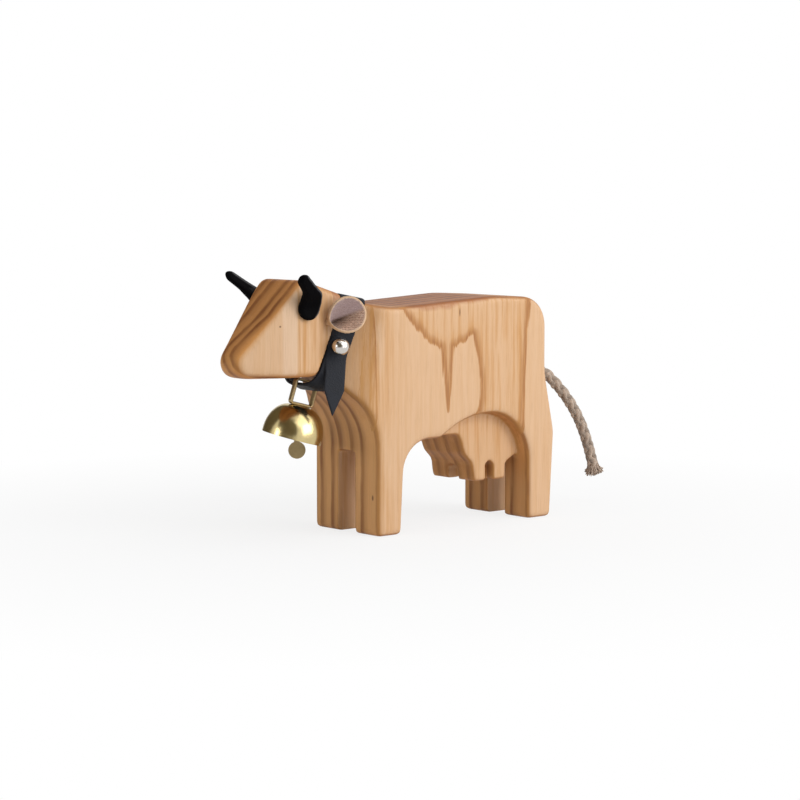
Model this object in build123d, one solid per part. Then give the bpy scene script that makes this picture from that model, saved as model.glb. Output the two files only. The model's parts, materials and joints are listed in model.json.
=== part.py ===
from build123d import *

import os
from math import cos, radians, sin, tan

# Wooden cow figurine with leather horns, ears and collar, a brass bell and a rope tail.
# Millimetres. The cow looks along -X and stands on Z = 0. Its left side is -Y.

# Plank and back
plank_width = 40.0
front_leg_x = -18.0
withers_x = -12.0
withers_z = 87.8
withers_round = 40.0
neck_rise = 14.5
head_rise = 17.8
crown_x = 42.0
crown_z = 90.8
crown_round = 60.0
rump_x = 70.5
rump_z = 89.4
rump_round = 12.0
buttock_z = 59.0
buttock_round = 40.0
hock_x = 75.6
hock_z = 35.0
hock_round = 12.0
edge_round = 2.2

# Legs, belly and flank arch
front_foot_depth = 11.7
front_leg_flare = 2.0
rear_foot_depth = 12.4
rear_foot_x = 61.1
leg_gap = 10.0
leg_gap_height = 32.0
leg_gap_round = 1.4
belly_z = 36.0
armpit_round = 13.0
flank_start_x = 13.7
flank_knee_x = 29.0
flank_round = 40.0
arch_z = 44.2
arch_round = 20.6
foot_round = 1.6

# Chest, throat and neck
chest_z = 45.9
throat_rise = 44.5
throat_round = 28.0
neck_width = 18.0
shoulder_x = -15.7
shoulder_z = 84.6
shoulder_lean = 7.8
shoulder_taper = 35.0
shoulder_round = 9.0
neck_round = 4.0
neck_end_x = -45.0

# Head
head_width = 26.0
nose_width = 12.0
nose_x = -75.5
poll_x = -49.6
poll_round = 4.5
forehead_slope = 48.2
nose_round = 4.5
chin_round = 6.2
jaw_z = 62.6
muzzle_x = -51.8
muzzle_round = 14.0
head_edge_round = 3.0

# Udder
udder_width = 26.0
udder_front_x = 29.3
udder_slope_x = 32.6
udder_slope_z = 27.6
udder_knee_z = 23.8
teat_front_x = 37.7
teat_rear_x = 54.6
teat_z = 16.4
teat_root_z = 22.8
udder_rear_z = 26.2
cross_gap = 4.6
cross_gap_x = 45.8
cross_gap_top = 24.2
long_gap = 5.6
long_gap_top = 22.6
udder_edge_round = 1.2
udder_knee_round = 2.4

# Leather horns
horn_thickness = 2.2
horn_lobe = (-47.6, 89.0, 4.3)
horn_shoulder = (-48.6, 92.2, 3.3)
horn_middle = (-52.1, 96.2, 1.9)
horn_tip = (-56.6, 99.9, 1.6)
horn_bend_z = 89.5
horn_bend_angle = 45.0
horn_reach = 7.6
horn_top_lean = 30.0
horn_bend_round = 5.0

# Leather ears
ear_diameter = 15.2
ear_thickness = 1.5
ear_fold_angle = 48.0
ear_root_x = -37.6
ear_root_z = 83.1
ear_back_angle = 40.0
ear_lift_angle = 22.0
ear_pin_diameter = 2.4
ear_pin_depth = 5.0
ear_stand_off = 1.2
ear_trim = 0.5

# Leather collar
strap_width = 8.0
strap_thickness = 1.2
collar_x = -38.0
collar_z = 58.6
collar_lean = 20.0
collar_clearance = 0.2
collar_side_room = 1.3
collar_bottom_round = 7.0
collar_top_round = 1.6
cheek_gap = 0.6
jaw_gap = 2.2
free_end_drop = 26.5
free_end_point = 10.0
free_end_lean = 9.0
free_end_splay = 9.0
free_end_bend = 5.0
free_end_round = 12.0
glue_depth = 0.3

# Collar stud
stud_height = 16.0
ball_diameter = 6.6
stud_neck_diameter = 3.0
stud_neck_length = 1.0
stud_flange_diameter = 5.0
stud_flange_height = 0.6
stud_screw_diameter = 1.8
screw_head_diameter = 5.6
screw_head_height = 0.8
screw_seat = 0.2
stud_fit = 0.05

# Brass bell, hanging on the collar
bail_play = 0.6
bail_height = 10.4
bail_strip = 1.1
bail_depth = 2.2
bail_corner = 0.4
bail_edge = 0.45
bail_lean = 14.0
bail_roll = 7.0
bail_clearance = 1.05
dome_diameter = 23.4
dome_height = 12.7
dome_wall = 0.8
dome_crown = 6.4
dome_lip = 1.2

# Riveted eye and clapper
eye_shank = 1.4
eye_head = 1.9
eye_head_height = 0.6
eye_wire = 1.0
eye_diameter = 3.0
eye_drop = 0.5
rivet_fit = 0.05
clapper_diameter = 6.6
clapper_length = 12.3
clapper_thickness = 1.0
clapper_neck = 2.2
clapper_hole = 2.0
clapper_turn = 40.0

# Rope tail
rope_diameter = 5.0
tail_hole_depth = 15.0
tail_z = 62.5
tail_fit = 0.1
tail_route = [(81.0, 62.5), (101.0, 47.5), (114.0, 28.5), (118.5, 12.0)]
arc_share = 0.45

# Room by which a cutting or joining shape runs past the solid it works on
overrun = 10.0

half_plank = plank_width / 2
half_head = head_width / 2
half_neck = neck_width / 2


# Lines that several pieces share
def rising(x, rise):
    """Height of a straight line that rises forwards from the withers."""
    return withers_z + (withers_x - x) * tan(radians(rise))


def neck_top(x):
    """Height of the neck, low enough to bed the strap."""
    return rising(x, neck_rise)


def head_top(x):
    """Height of the line from the withers to the poll."""
    return rising(x, head_rise)


def neck_half(x, z):
    """Half width of the neck: it tapers from the shoulder down to a parallel neck."""
    edge = shoulder_x + (z - shoulder_z) * tan(radians(shoulder_lean))
    tapered = half_plank - (edge - x) * tan(radians(shoulder_taper))
    return min(half_plank, max(half_neck, tapered))


def collar_point(across, up):
    """Place in the XZ plane: across the strap, rearwards, and up along the collar."""
    lean = radians(collar_lean)
    x = collar_x + across * cos(lean) + up * sin(lean)
    z = collar_z - across * sin(lean) + up * cos(lean)
    return x, z


def collar_top(across, rise=neck_rise):
    """How far up the collar's plane a line that rises from the withers is reached."""
    x, z = collar_point(across, 0)
    lean = radians(collar_lean)
    return (rising(x, rise) - z) / (cos(lean) + tan(radians(rise)) * sin(lean))


def strap_half(across, up):
    """Half width inside the collar at an edge of the strap."""
    return neck_half(*collar_point(across, up)) + collar_side_room


def cheek_wall(z, gap):
    """Back edge of the cheek, a gap in front of the strap's front edge."""
    lean = radians(collar_lean)
    middle = collar_x + (z - collar_z) * tan(lean)
    return middle - strap_width / 2 / cos(lean) - gap


# Building blocks
def side_face(corners):
    """Face in the XZ plane from corners given as x, z and rounding."""
    points = [(x, z) for x, z, _ in corners]
    rounds = [rounding for _, _, rounding in corners]
    return make_face(Plane.XZ * FilletPolyline(*points, radius=rounds, close=True))


def plan_prism(half_outline, lean):
    """Upright prism from half a plan outline, mirrored, leaning back by an angle."""
    other_half = [(x, -y, rounding) for x, y, rounding in reversed(half_outline)]
    corners = half_outline + other_half
    points = [(x, y) for x, y, _ in corners]
    rounds = [rounding for _, _, rounding in corners]
    outline = FilletPolyline(*points, radius=rounds, close=True)
    plan = make_face(Pos(0, 0, -overrun) * outline)
    tall = (head_top(poll_x) + 2 * overrun) / cos(radians(lean))
    return extrude(plan, tall, dir=(sin(radians(lean)), 0, cos(radians(lean))))


def outline_edges(block, back_walls=True):
    """Edges between the flanks of a sawn block and its sawn outline, back walls left out or not."""
    flanks = [face for face in block.faces() if abs(face.normal_at().Y) > 0.3]
    outline = [face for face in block.faces() if abs(face.normal_at().Y) <= 0.3]
    if not back_walls:
        outline = [face for face in outline if face.normal_at().X < 0.5]
    outline_set = {edge for face in outline for edge in face.edges()}
    return ShapeList({edge for face in flanks for edge in face.edges() if edge in outline_set})


def mirrored(shape):
    """The same piece on the cow's other side."""
    return mirror(shape, about=Plane.XZ)


# Wooden body
def trunk_block():
    """Trunk, legs and neck, sawn to the side view and tapered at the shoulders."""
    throat_z = chest_z + (front_leg_x - neck_end_x) * tan(radians(throat_rise))
    corners = [
        (front_leg_x, 0, foot_round),
        (front_leg_x, chest_z, throat_round),
        (neck_end_x, throat_z, 0),
        (neck_end_x, neck_top(neck_end_x), 0),
        (withers_x, withers_z, withers_round),
        (crown_x, crown_z, crown_round),
        (rump_x, rump_z, rump_round),
        (rump_x, buttock_z, buttock_round),
        (hock_x, hock_z, hock_round),
        (rear_foot_x + rear_foot_depth, 0, foot_round),
        (rear_foot_x, 0, foot_round),
        (rear_foot_x, arch_z, arch_round),
        (flank_knee_x, arch_z, flank_round),
        (flank_start_x, belly_z, 0),
        (front_leg_x + front_foot_depth + front_leg_flare, belly_z, armpit_round),
        (front_leg_x + front_foot_depth, 0, foot_round),
    ]
    block = extrude(side_face(corners), half_plank, both=True)
    drop = (shoulder_z + overrun) * tan(radians(shoulder_lean))
    edge_x = shoulder_x - drop
    neck_x = edge_x - (half_plank - half_neck) / tan(radians(shoulder_taper))
    half_plan = [
        (hock_x + 2 * overrun, half_plank, 0),
        (edge_x, half_plank, shoulder_round),
        (neck_x, half_neck, neck_round),
        (nose_x - 2 * overrun, half_neck, 0),
    ]
    return block & plan_prism(half_plan, shoulder_lean)


def head_block():
    """Head with sloping forehead, its muzzle tapered in plan."""
    poll_z = head_top(poll_x)
    brow_z = poll_z - (poll_x - nose_x) * tan(radians(forehead_slope))
    jaw_x = cheek_wall(jaw_z, jaw_gap)
    middle_z = (jaw_z + poll_z) / 2
    wall_across = -strap_width / 2 - cheek_gap
    wall_top = collar_point(wall_across, collar_top(wall_across, head_rise))
    front = FilletPolyline(
        wall_top, (poll_x, poll_z), (nose_x, brow_z), (nose_x, jaw_z), (jaw_x, jaw_z),
        radius=[poll_round, nose_round, chin_round],
    )
    wall = ThreePointArc((jaw_x, jaw_z), (cheek_wall(middle_z, cheek_gap), middle_z), wall_top)
    profile = make_face(Plane.XZ * (front + wall))
    block = extrude(profile, half_head, both=True)
    half_plan = [
        (withers_x, half_head, 0),
        (muzzle_x, half_head, muzzle_round),
        (nose_x, nose_width / 2, 0),
        (nose_x - overrun, nose_width / 2, 0),
    ]
    return block & plan_prism(half_plan, 0)


def udder_block():
    """Udder and belly between the flanks, with rounded teats."""
    knee = udder_knee_round
    corners = [
        (flank_start_x, arch_z + overrun, 0),
        (flank_start_x, belly_z, 0),
        (udder_front_x, belly_z, knee),
        (udder_slope_x, udder_slope_z, knee),
        (teat_front_x - udder_edge_round, udder_knee_z, knee),
        (teat_front_x, teat_z, udder_edge_round),
        (teat_rear_x, teat_z, udder_edge_round),
        (teat_rear_x, teat_root_z, knee),
        (rear_foot_x, udder_rear_z, knee),
        (rear_foot_x + leg_gap / 2, udder_rear_z, 0),
        (rear_foot_x + leg_gap / 2, arch_z + overrun, 0),
    ]
    block = extrude(side_face(corners), udder_width / 2, both=True)
    return fillet(outline_edges(block), udder_edge_round)


def groove(width, top, length, along):
    """Cutter with a round crown, running through along X or Y."""
    slot = Rectangle(width, top, align=(Align.CENTER, Align.MAX))
    crown = Circle(width / 2)
    plane = Plane.YZ if along == "X" else Plane.XZ
    face = plane * (Pos(0, top - width / 2) * (slot + crown))
    return extrude(face, length / 2, both=True)


def leg_cutter(x_from, x_to):
    """Saw cut that parts a pair of legs."""
    size = (x_to - x_from, leg_gap, leg_gap_height + overrun)
    cutter = Pos(x_from, 0, leg_gap_height) * Box(*size, align=(Align.MIN, Align.CENTER, Align.MAX))
    return fillet(cutter.edges().filter_by(Axis.X).group_by(Axis.Z)[-1], leg_gap_round)


def ear_plane():
    """Plane at the left ear's root: X along the ear, Z out of its open side."""
    back = radians(ear_back_angle)
    along = Vector(cos(back), -sin(back), 0) * cos(radians(ear_lift_angle))
    along += Vector(0, 0, sin(radians(ear_lift_angle)))
    facing = (-sin(back), -cos(back), 0)
    root = (ear_root_x, -half_head, ear_root_z)
    return Plane(root, x_dir=along, z_dir=facing)


def ear_hole(diameter):
    """Pin or hole square to the left cheek at the ear's root."""
    length = ear_pin_depth + ear_stand_off
    place = Pos(ear_root_x, -half_head - ear_stand_off, ear_root_z) * Rot(-90, 0, 0)
    return place * Cylinder(diameter / 2, length, align=(Align.CENTER, Align.CENTER, Align.MIN))


def tail_hole():
    """Blind hole in the rump for the rope."""
    place = Pos(rump_x - tail_hole_depth, 0, tail_z) * Rot(0, 90, 0)
    length = tail_hole_depth + overrun
    hole = Cylinder(rope_diameter / 2 + tail_fit, length, align=(Align.CENTER, Align.CENTER, Align.MIN))
    return place * hole


def wooden_body():
    """The whole carved figure with its holes for ears and tail."""
    trunk = trunk_block()
    trunk = fillet(outline_edges(trunk), edge_round)
    head = head_block()
    head = fillet(outline_edges(head, back_walls=False), head_edge_round)
    body = trunk + head + udder_block()
    body -= leg_cutter(front_leg_x - overrun, flank_start_x)
    body -= leg_cutter(rear_foot_x - leg_gap / 2, hock_x + overrun)
    body -= Pos(cross_gap_x, 0, 0) * groove(cross_gap, cross_gap_top, plank_width, "Y")
    long_middle = (udder_front_x + rear_foot_x) / 2
    body -= Pos(long_middle, 0, 0) * groove(long_gap, long_gap_top, rear_foot_x - udder_front_x, "X")
    body -= ear_hole(ear_pin_diameter)
    body -= mirrored(ear_hole(ear_pin_diameter))
    body -= tail_hole()
    return body


# Leather horns and ears
def horn():
    """Right horn: a comma cut from thick leather, its lobe on the cheek, bent outwards."""
    comma = Sketch()
    stations = [horn_lobe, horn_shoulder, horn_middle, horn_tip]
    for (x1, z1, r1), (x2, z2, r2) in zip(stations, stations[1:]):
        pair = Pos(x1, z1) * Circle(r1) + Pos(x2, z2) * Circle(r2)
        comma += make_hull(pair.edges())
    blank = extrude(Plane.XZ * comma, plank_width, both=True)
    y0 = half_head + horn_thickness / 2
    bend = radians(horn_bend_angle)
    y1 = y0 + horn_reach * cos(bend)
    z1 = horn_bend_z + horn_reach * sin(bend)
    y2 = y1 + overrun * sin(radians(horn_top_lean))
    z2 = z1 + overrun * cos(radians(horn_top_lean))
    route = FilletPolyline(
        (y0, horn_lobe[1] - overrun), (y0, horn_bend_z), (y1, z1), (y2, z2), radius=horn_bend_round
    )
    sheet = extrude(Plane.YZ * trace(route, horn_thickness), nose_x - overrun)
    return (blank & sheet).solids().sort_by(SortBy.VOLUME)[-1]


def ear():
    """Left ear: a leather disc folded into a scoop, its pinched root pinned into the cheek."""
    plane = ear_plane()
    fold = radians(ear_fold_angle)
    reach = 2 * ear_diameter
    base = reach * tan(fold)
    step = ear_thickness / sin(fold)
    outer = Cone(0, base, reach, align=(Align.CENTER, Align.CENTER, Align.MIN))
    hollow = Pos(0, 0, step) * outer
    tilted = Rot(0, 90 - ear_fold_angle, 0) * (outer - hollow)
    rim = Pos(ear_diameter / 2, 0, 0) * Sphere(ear_diameter / 2)
    scoop = plane * (tilted & rim)
    scoop = split(scoop, Plane((0, -half_head - ear_trim, 0), z_dir=(0, -1, 0)), keep=Keep.TOP)
    return scoop + ear_hole(ear_pin_diameter)


# Collar and stud
def collar_plane(across):
    """Plane of the collar loop: X to the cow's right, Y up, moved across the strap."""
    x, z = collar_point(across, 0)
    lean = radians(collar_lean)
    return Plane((x, 0, z), x_dir=(0, 1, 0), z_dir=(cos(lean), 0, -sin(lean)))


def collar_loop(across, layer):
    """Loop at one edge of the strap, a layer of leather outside its inner line."""
    top = collar_top(across) + collar_clearance
    low = strap_half(across, collar_bottom_round) + layer
    high = strap_half(across, top) + layer
    corners = [(-low, -layer), (low, -layer), (high, top + layer), (-high, top + layer)]
    bottom = collar_bottom_round + layer
    rounds = [bottom, bottom, collar_top_round + layer, collar_top_round + layer]
    return collar_plane(across) * make_face(FilletPolyline(*corners, radius=rounds, close=True))


def side_half(across, up):
    """Half width inside the collar's loop between its low and high corners."""
    top = collar_top(across) + collar_clearance
    low = strap_half(across, collar_bottom_round)
    high = strap_half(across, top)
    return low + (high - low) * up / top


def strap_side(across, up):
    """Point on the outside of the strap's left side."""
    x, z = collar_point(across, up)
    return Vector(x, -side_half(across, up), z)


def stud_plane():
    """Plane on the outside of the strap's left side, at the stud, Z outwards."""
    along = strap_side(strap_width / 2, stud_height) - strap_side(-strap_width / 2, stud_height)
    upward = strap_side(0, stud_height + strap_width / 2) - strap_side(0, stud_height - strap_width / 2)
    out = along.cross(upward).normalized()
    return Plane(strap_side(0, stud_height) + out * strap_thickness, x_dir=along, z_dir=out)


def free_end():
    """Pointed end of the strap, bent outwards below the stud."""
    half = strap_width / 2
    point_y = free_end_point - free_end_drop
    tip = (0, -free_end_drop)
    tongue = make_face(Polyline((-half, 0), (half, 0), (half, point_y), tip, (-half, point_y), close=True))
    middle = strap_thickness / 2 - glue_depth
    fall = free_end_drop - free_end_bend + overrun
    splay = radians(free_end_splay)
    lowest = (middle + fall * sin(splay), -free_end_bend - fall * cos(splay))
    route = FilletPolyline((middle, half), (middle, -free_end_bend), lowest, radius=free_end_round)
    edge_on = Plane((0, 0, 0), x_dir=(0, 0, 1), z_dir=(-1, 0, 0))
    sheet = extrude(edge_on * trace(route, strap_thickness), strap_width, both=True)
    blank = extrude(tongue + Circle(half), strap_width, both=True)
    return stud_plane() * (Rot(0, 0, collar_lean - free_end_lean) * (blank & sheet))


def stud_post(radius, low, high):
    """Round stretch on the stud's axis, heights above the strap's outside."""
    base = Pos(0, 0, low)
    post = Cylinder(radius, high - low, align=(Align.CENTER, Align.CENTER, Align.MIN))
    return stud_plane() * (base * post)


def collar_strap():
    """Strap round the neck with its free end and the stud's hole."""
    edges = (-strap_width / 2, strap_width / 2)
    outer = loft([collar_loop(edge, strap_thickness) for edge in edges], ruled=True)
    inner = loft([collar_loop(edge, 0) for edge in edges], ruled=True)
    strap = outer - inner + free_end()
    strap -= stud_post(stud_neck_diameter / 2 + stud_fit, -overrun, overrun)
    return strap - stud_post(screw_head_diameter / 2 + stud_fit, -overrun, screw_seat - strap_thickness)


def stud_ball():
    """Ball stud: ball, neck through both layers of leather and a tapped bore."""
    seat = strap_thickness - glue_depth
    post = stud_post(stud_neck_diameter / 2, screw_seat - strap_thickness, seat + stud_neck_length + ball_diameter / 2)
    flange = stud_post(stud_flange_diameter / 2, seat, seat + stud_flange_height)
    centre = seat + stud_neck_length + ball_diameter / 2
    ball = stud_plane() * (Pos(0, 0, centre) * Sphere(ball_diameter / 2))
    bore = stud_post(stud_screw_diameter / 2 + stud_fit, -overrun, seat)
    return post + flange + ball - bore


def stud_screw():
    """Flat-headed screw behind the leather."""
    inside = screw_seat - strap_thickness
    head = stud_post(screw_head_diameter / 2, inside - screw_head_height, inside)
    shank = stud_post(stud_screw_diameter / 2, inside, strap_thickness - glue_depth)
    return head + shank


# Bell
def bail_centre():
    """Middle of the bail's top bar, resting on the inside of the strap."""
    rise = bail_clearance + bail_strip / 2
    return collar_point(0, rise)


def bell_plane():
    """Plane of the bail: X rearwards along its top bar, Y up along the bell's axis."""
    x, z = bail_centre()
    lean = radians(bail_lean)
    roll = radians(bail_roll)
    facing = (-sin(lean) * sin(roll), -cos(roll), -cos(lean) * sin(roll))
    return Plane((x, 0, z), x_dir=(cos(lean), 0, -sin(lean)), z_dir=facing)


bar_z = bail_strip / 2 - bail_height
crown_top_z = bar_z
rim_z = crown_top_z - dome_height
eye_z = crown_top_z - dome_wall - eye_drop - eye_wire / 2 - eye_diameter / 2
hinge_z = eye_z - eye_diameter / 2


def bell_axis_post(radius, low, high):
    """Round stretch on the bell's axis between two heights in the bell's plane."""
    place = Pos(0, low, 0) * Rot(-90, 0, 0)
    post = Cylinder(radius, high - low, align=(Align.CENTER, Align.CENTER, Align.MIN))
    return bell_plane() * (place * post)


def rivet_head(fit):
    """Head of the eye, peened flush into the bail's bottom bar."""
    top = bar_z + bail_strip
    cone = Cone(eye_shank / 2 + fit, eye_head / 2 + fit, eye_head_height, align=(Align.CENTER, Align.CENTER, Align.MAX))
    return bell_plane() * (Pos(0, top, 0) * Rot(-90, 0, 0) * cone)


def bell_bail():
    """Rectangular loop of flat strip, its bottom bar drilled for the eye."""
    width = strap_width + 2 * (bail_play + bail_strip)
    ring = RectangleRounded(width, bail_height, bail_corner + bail_strip)
    ring -= RectangleRounded(width - 2 * bail_strip, bail_height - 2 * bail_strip, bail_corner)
    centred = Pos(0, (bail_strip - bail_height) / 2) * ring
    bail = extrude(bell_plane() * centred, bail_depth / 2, both=True)
    flats = bail.faces().filter_by(Axis(bell_plane().origin, bell_plane().z_dir))
    bail = fillet(flats.edges(), bail_edge)
    bail -= bell_axis_post(eye_shank / 2 + rivet_fit, rim_z, -bail_strip)
    return bail - rivet_head(rivet_fit)


def dome_profile(radius, height, crown):
    """Half section of a bell: lip, bell curve and flat crown, its top at the crown's height."""
    curve = EllipticalCenterArc((crown, dome_lip), radius - crown, height - dome_lip, arc_size=90)
    sides = Polyline((crown, height), (0, height), (0, 0), (radius, 0), (radius, dome_lip))
    return make_face(curve + sides)


def bell_dome():
    """Spun bell with an even wall."""
    radius = dome_diameter / 2
    half = dome_crown / 2
    section = dome_profile(radius, dome_height, half)
    section -= dome_profile(radius - dome_wall, dome_height - dome_wall, half - dome_wall / 2)
    axis = Axis((0, 0, 0), (0, 1, 0))
    dome = bell_plane() * (Pos(0, rim_z, 0) * revolve(section, axis))
    return dome - bell_axis_post(eye_shank / 2 + rivet_fit, rim_z, 0)


def clapper_eye():
    """Rivet through bail and crown, ending in a ring that carries the clapper."""
    shank = bell_axis_post(eye_shank / 2, eye_z + eye_diameter / 2, bar_z + bail_strip)
    turn = Rot(0, 90 - clapper_turn, 0)
    ring = Torus(eye_diameter / 2, eye_wire / 2)
    return rivet_head(0) + shank + bell_plane() * (Pos(0, eye_z, 0) * turn * ring)


def clapper_plane():
    """Plane at the ring's lowest point in which the clapper hangs, Z along the ring's wire."""
    bell = bell_plane()
    at = bell.from_local_coords(Vector(0, hinge_z, 0))
    turn = radians(clapper_turn)
    wire = bell.z_dir * cos(turn) - bell.x_dir * sin(turn)
    return Plane(at, x_dir=Vector(0, 0, 1).cross(wire), z_dir=wire)


def clapper():
    """Flat disc on a neck, hanging by a hole from the ring."""
    neck = Pos(0, -clapper_length / 2) * Rectangle(clapper_neck, clapper_length)
    disc = Pos(0, -clapper_length) * Circle(clapper_diameter / 2)
    end = Circle(clapper_hole / 2 + (clapper_neck - eye_wire) / 2)
    plate = neck + disc + end - Circle(clapper_hole / 2)
    return extrude(clapper_plane() * plate, clapper_thickness / 2, both=True)


# Rope tail
def tail_path():
    """Route of the rope: straight runs joined by arcs as large as the runs allow."""
    points = [Vector(rump_x - tail_hole_depth, 0, tail_z)]
    points += [Vector(x, 0, z) for x, z in tail_route]
    radii = []
    for before, here, after in zip(points, points[1:], points[2:]):
        turn = radians((here - before).get_angle(after - here))
        shorter = min((here - before).length, (after - here).length)
        radii.append(arc_share * shorter / tan(turn / 2))
    print("tail radii", [round(radius, 1) for radius in radii])
    return FilletPolyline(*points, radius=radii)


def tail_rope():
    """Rope from the bottom of its hole to its cut end."""
    path = tail_path()
    rope = sweep(Plane(path @ 0, z_dir=path % 0) * Circle(rope_diameter / 2), path=path)
    section = Circle(rope_diameter / 2).area
    print("tail length", round(path.length, 1), "volume share", round(rope.volume / section / path.length, 4))
    return rope


def main():
    """Write every piece to its own file."""
    left_ear = ear()
    right_horn = horn()
    pieces = {
        "wooden_body": wooden_body(),
        "horn_left": mirrored(right_horn),
        "horn_right": right_horn,
        "ear_left": left_ear,
        "ear_right": mirrored(left_ear),
        "collar_strap": collar_strap(),
        "stud_ball": stud_ball(),
        "stud_screw": stud_screw(),
        "bell_bail": bell_bail(),
        "bell_dome": bell_dome(),
        "clapper_eye": clapper_eye(),
        "clapper": clapper(),
        "tail_rope": tail_rope(),
    }
    os.makedirs("parts", exist_ok=True)
    for name, piece in pieces.items():
        export_step(piece, f"parts/{name}.step")
    hinge = clapper_plane().origin
    print("bell_swing at", bail_centre(), "along", tuple(bell_plane().x_dir))
    print("clapper_swing at", tuple(hinge), "along", tuple(clapper_plane().z_dir))


if __name__ == "__main__":
    main()
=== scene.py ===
"""Looks of the wooden cow figurine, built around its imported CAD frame.

Metres, in the frame of the CAD part: the cow looks along -X, stands on Z = 0 and its left side is -Y.
"""

import json
import math
import random

import bpy
from bpy.props import FloatProperty, FloatVectorProperty, IntProperty, PointerProperty
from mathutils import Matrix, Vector

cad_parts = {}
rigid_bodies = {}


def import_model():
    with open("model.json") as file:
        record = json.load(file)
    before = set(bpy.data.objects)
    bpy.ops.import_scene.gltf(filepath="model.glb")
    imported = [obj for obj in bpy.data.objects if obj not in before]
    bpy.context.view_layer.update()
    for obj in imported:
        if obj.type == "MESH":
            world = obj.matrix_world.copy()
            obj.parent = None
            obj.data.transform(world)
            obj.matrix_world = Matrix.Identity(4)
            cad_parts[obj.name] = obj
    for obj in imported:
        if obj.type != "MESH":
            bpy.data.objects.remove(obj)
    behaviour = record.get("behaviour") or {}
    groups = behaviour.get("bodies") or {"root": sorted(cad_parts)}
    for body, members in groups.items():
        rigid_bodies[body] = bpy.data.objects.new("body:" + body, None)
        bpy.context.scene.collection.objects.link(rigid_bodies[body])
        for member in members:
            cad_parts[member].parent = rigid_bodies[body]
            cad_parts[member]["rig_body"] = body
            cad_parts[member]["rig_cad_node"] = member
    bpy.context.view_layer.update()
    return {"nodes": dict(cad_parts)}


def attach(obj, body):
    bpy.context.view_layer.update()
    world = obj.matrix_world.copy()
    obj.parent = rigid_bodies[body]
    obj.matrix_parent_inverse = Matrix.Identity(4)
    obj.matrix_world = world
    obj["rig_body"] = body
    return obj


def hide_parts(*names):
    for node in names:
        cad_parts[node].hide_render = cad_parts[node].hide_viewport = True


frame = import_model()

bl_info = {
    "name": "Wooden cow figurine",
    "version": (1, 0, 0),
    "blender": (4, 5, 0),
    "location": "View3D > Sidebar > Cow",
    "description": "Wood, leather, brass and rope of a carved cow figurine",
    "category": "Object",
}

MM = 0.001
WELD_DISTANCE = 0.001 * MM
SIDEWAYS = Vector((0.0, 1.0, 0.0))
UPRIGHT = Vector((0.0, 0.0, 1.0))

# The photograph's camera, its angles in degrees
CAMERA_TARGET = Vector((9.43, 0.0, 49.97)) * MM
CAMERA_DISTANCE = 960.2 * MM
CAMERA_AZIMUTH = -40.62
CAMERA_ELEVATION = 5.28
CAMERA_LENS = 109.4
CAMERA_NEAR = 50.0 * MM

# Lamps: place and edge length in metres, and share of the key lamp's power
LAMPS = {
    "key_lamp": ((0.3, -0.85, 0.4), 0.7, 1.0),
    "top_lamp": ((0.2, -0.2, 0.9), 0.6, 0.2),
    "front_lamp": ((-0.95, 0.1, 0.25), 0.25, 0.16),
}

# Cards seen only in reflections, the dark ones painted dark reflections and the glowing one a painted
# highlight: turn to the camera's left and lift in degrees, width, height and distance in metres, and glow
CARDS = {
    "dark_reflection_card": (20.0, 20.0, 1.7, 1.5, 1.1, 0.0),
    "side_dark_reflection_card": (120.0, 30.0, 1.6, 1.6, 1.1, 0.0),
    "painted_highlight_card": (-66.0, 45.0, 1.5, 0.55, 0.9, 2.0),
}
# Colour of the cards: painted dark reflections in the metal
CARD_REFLECTION_DARK = (0.2, 0.165, 0.11)

# Floor: edge length and the span of its fade in metres, and how white it looks at the middle
FLOOR_SIZE = 6.0
FLOOR_FADE = (0.05, 0.28)
FLOOR_MIDDLE = 0.8
FLOOR_PAINT = (0.85, 0.85, 0.85)
WHITE = (1.0, 1.0, 1.0)

# Growth rings, in millimetres: dark lines across the plank and across the forehead, and span of their ramp
GROWTH_LINES = (-18.6, -9.5, -3.2, 3.4, 8.6, 15.3)
HEAD_LINES = (-18.0, -9.0, -4.5, 4.2, 9.0, 15.0)
RING_SPAN = (-24.0, 24.0)

# Across one dark line: distance from it, and share of its colour there
RING_PROFILE = ((-3.6, 0.0), (-1.7, 0.4), (-0.7, 1.0), (0.4, 1.0), (1.4, 0.0))

# Bend of the lines to the right: on the head by X and its share by Z, on the chest its slope by Z
HEAD_END = -36.0
HEAD_BEND = (
    (-76.0, 8.0), (-72.0, 8.2), (-69.5, 6.8), (-65.0, 3.9), (-61.5, 1.6), (-57.0, 1.1), (-51.5, 0.0),
)
HEAD_BEND_SHARE = ((63.5, 0.28), (72.0, 1.0))
CHEST_END = -18.0
CHEST_BEND = ((52.0, 0.5), (62.0, 0.7))

# Flank: outline of the pale patch that the saw left, in X and Z, and the line before the rump, X by Z
PALE_PATCH = (
    (-30.0, 100.0), (-8.3, 90.0), (-5.2, 85.3), (-0.7, 81.4), (5.0, 75.6), (9.9, 72.9), (13.2, 71.5),
    (14.5, 65.6), (15.3, 59.3), (16.2, 51.7), (16.9, 46.5), (17.9, 51.6), (19.1, 57.8), (19.5, 65.3),
    (20.1, 71.5), (27.5, 74.7), (30.4, 75.8), (31.3, 72.3), (32.6, 65.9), (34.3, 58.3), (34.2, 50.7),
    (33.1, 46.3), (29.5, 42.6), (22.0, 39.6), (15.7, 37.0), (8.0, 30.0), (0.0, -10.0), (-30.0, -10.0),
)
RUMP_LINE = ((-5.0, 56.0), (19.0, 57.0), (39.0, 57.9), (58.0, 58.6), (77.0, 59.8), (92.0, 61.5))

# Amber along the edge of the pale wood: span of depths in millimetres, and share of amber over it
FIGURE_SPAN = (-12.0, 1.0)
FIGURE_STOPS = (
    (0.0, 0.12), (0.45, 0.2), (0.68, 0.42), (0.8, 0.8), (0.88, 1.0), (0.925, 0.85), (0.965, 0.0),
)

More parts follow.
